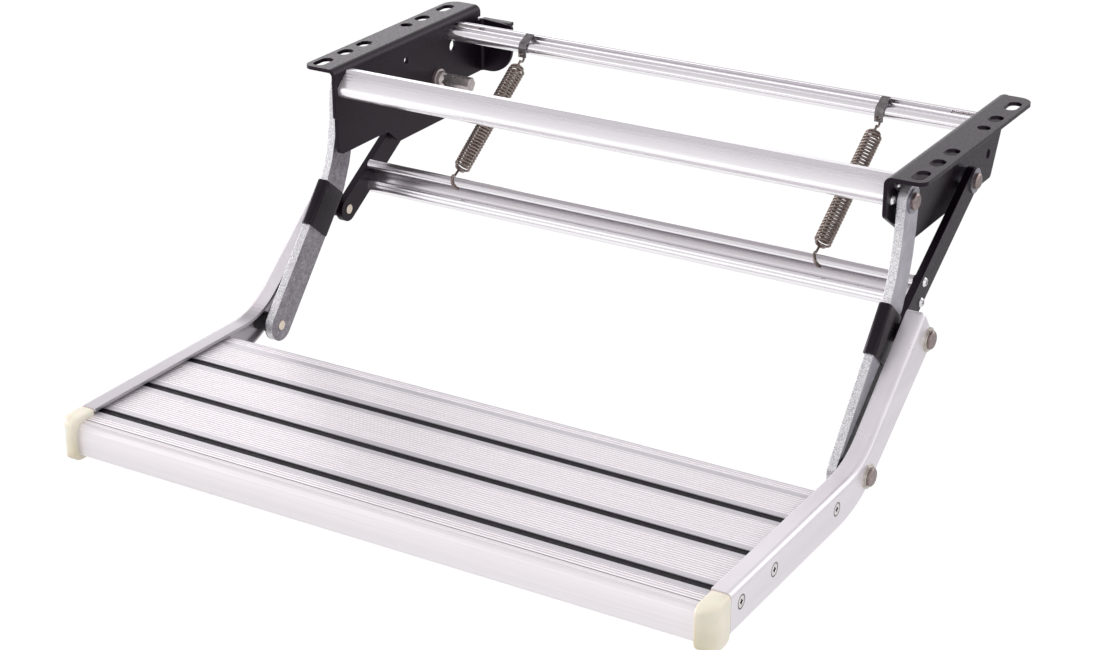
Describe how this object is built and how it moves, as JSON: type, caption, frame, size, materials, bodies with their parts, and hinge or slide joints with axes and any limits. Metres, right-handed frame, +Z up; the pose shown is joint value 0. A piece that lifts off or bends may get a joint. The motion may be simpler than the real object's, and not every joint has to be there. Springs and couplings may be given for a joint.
{
  "type": "caravan entry step",
  "caption": "Fold-away caravan entry step with a ribbed tread on cranked side arms, swung under the floor by paired links and held by over-centre springs.",
  "frame": {"origin": "midway between the two round locating holes of the bracket flanges, on the flanges' upper face", "axes": "+X to the right across the step, +Y back towards the vehicle, +Z up"},
  "size_m": [0.5582, 0.5589, 0.223],
  "materials": {
    "black_steel": "satin black coating",
    "zinc_steel": "galvanised, speckled",
    "rail_aluminium": "bright anodised",
    "arm_aluminium": "satin anodised",
    "screw_steel": "zinc plated",
    "pin_steel": "plated, faintly yellow",
    "washer_steel": "plated",
    "stud_steel": "plated",
    "sleeve_plastic": "satin black",
    "insert_rubber": "matt black",
    "cap_plastic": "ivory, smooth",
    "clip_steel": "dark grey",
    "spring_steel": "brown-grey wire"
  },
  "bodies": {
    "mounting_frame": {"bracket_left": "black_steel", "bracket_right": "black_steel", "front_rail": "rail_aluminium", "rear_rail": "rail_aluminium", "front_rail_screws": "screw_steel", "rear_rail_screws": "screw_steel", "pins_a": "pin_steel", "pins_b": "pin_steel", "washers_ab": "washer_steel", "hex_stud": "stud_steel", "spring_clip_left": "clip_steel", "spring_clip_right": "clip_steel", "spring_left": "spring_steel", "spring_right": "spring_steel"},
    "rear_links": {"rear_link_left": "black_steel", "rear_link_right": "black_steel", "lower_rail": "rail_aluminium", "lower_rail_screws": "screw_steel"},
    "front_links": {"front_link_left": "zinc_steel", "front_link_right": "zinc_steel", "sleeve_left": "sleeve_plastic", "sleeve_right": "sleeve_plastic", "pin_ends_c": "pin_steel"},
    "step": {"arm_left": "arm_aluminium", "arm_right": "arm_aluminium", "arm_screws": "screw_steel", "tread": "arm_aluminium", "insert_1": "insert_rubber", "insert_2": "insert_rubber", "insert_3": "insert_rubber", "cap_left": "cap_plastic", "cap_right": "cap_plastic", "pins_c": "pin_steel", "pins_d": "pin_steel", "spacers_cd": "washer_steel", "washers_cd": "washer_steel"}
  },
  "joints": [
    {"name": "fold", "type": "hinge", "parent": "mounting_frame", "child": "rear_links", "pos_m": [0, 0.014, -0.0485], "axis": [1, 0, 0], "range_deg": [0, 145], "deforming": ["spring_left", "spring_right"]},
    {"name": "front_link_turn", "type": "hinge", "parent": "mounting_frame", "child": "front_links", "pos_m": [0, -0.1135, -0.0235], "axis": [1, 0, 0], "range_deg": [0, 92]},
    {"name": "step_level", "type": "hinge", "parent": "rear_links", "child": "step", "pos_m": [0, -0.1143, -0.1288], "axis": [1, 0, 0], "range_deg": [-150, 0]}
  ],
  "couplings": [
    {"joint": "front_link_turn", "follows": "fold", "ratio": 0.62703},
    {"joint": "step_level", "follows": "fold", "ratio": -1.0169}
  ]
}
